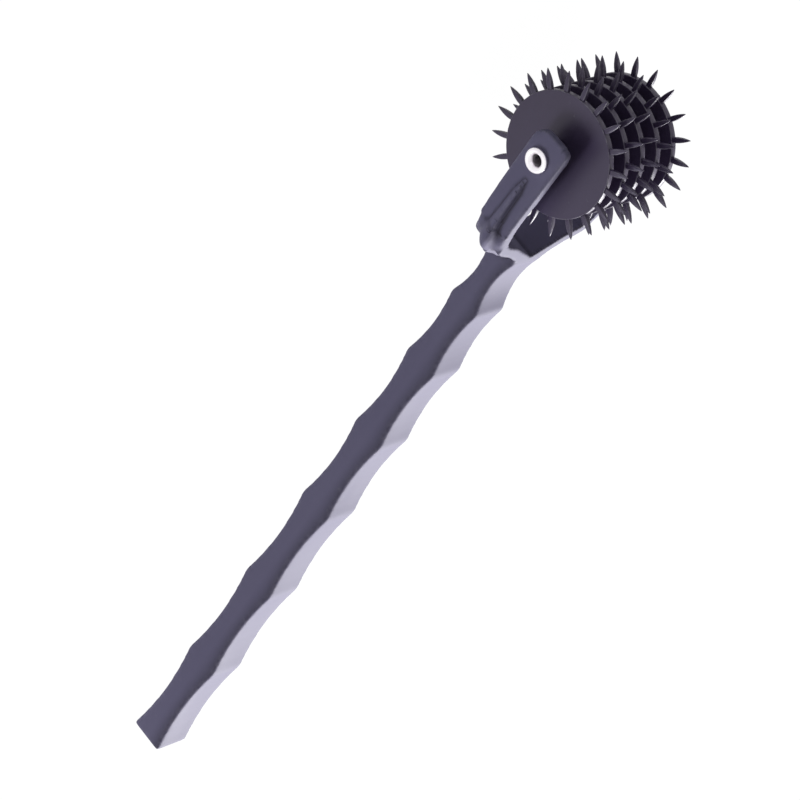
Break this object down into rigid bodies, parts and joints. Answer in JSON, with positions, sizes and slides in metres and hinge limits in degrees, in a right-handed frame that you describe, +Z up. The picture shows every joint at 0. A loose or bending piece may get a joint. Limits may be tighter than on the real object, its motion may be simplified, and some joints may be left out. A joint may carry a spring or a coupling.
{
  "type": "neurological pinwheel",
  "caption": "Forked plastic handle with scalloped grip whose arms carry rows of spiked star discs that roll on a hollow rivet.",
  "frame": {"origin": "centre of the wheel, on the axle, midway between the fork's arms", "axes": "+X along the handle to its free end, +Y along the axle, +Z up from the surface that the wheel rolls on"},
  "size_m": [0.1902, 0.0344, 0.0314],
  "materials": {
    "handle_plastic": "satin moulded",
    "wheel_plastic": "satin moulded",
    "spacer_plastic": "satin moulded",
    "rivet_steel": "bright plated"
  },
  "bodies": {
    "root": {"handle_fork": "handle_plastic", "axle_rivet": "rivet_steel", "spacer_1": "spacer_plastic", "spacer_2": "spacer_plastic", "spacer_3": "spacer_plastic", "spacer_4": "spacer_plastic", "spacer_5": "spacer_plastic", "spacer_6": "spacer_plastic"},
    "row_1": {"star_disc_1": "wheel_plastic"},
    "row_2": {"star_disc_2": "wheel_plastic"},
    "row_3": {"star_disc_3": "wheel_plastic"},
    "row_4": {"star_disc_4": "wheel_plastic"},
    "row_5": {"star_disc_5": "wheel_plastic"}
  },
  "joints": [
    {"name": "row_1_spin", "type": "hinge", "parent": "root", "child": "row_1", "pos_m": [0, -0.00908, 0], "axis": [0, 1, 0], "continuous": true},
    {"name": "row_2_spin", "type": "hinge", "parent": "root", "child": "row_2", "pos_m": [0, -0.00454, 0], "axis": [0, 1, 0], "continuous": true},
    {"name": "row_3_spin", "type": "hinge", "parent": "root", "child": "row_3", "pos_m": [0, 0, 0], "axis": [0, 1, 0], "continuous": true},
    {"name": "row_4_spin", "type": "hinge", "parent": "root", "child": "row_4", "pos_m": [0, 0.00454, 0], "axis": [0, 1, 0], "continuous": true},
    {"name": "row_5_spin", "type": "hinge", "parent": "root", "child": "row_5", "pos_m": [0, 0.00908, 0], "axis": [0, 1, 0], "continuous": true}
  ]
}
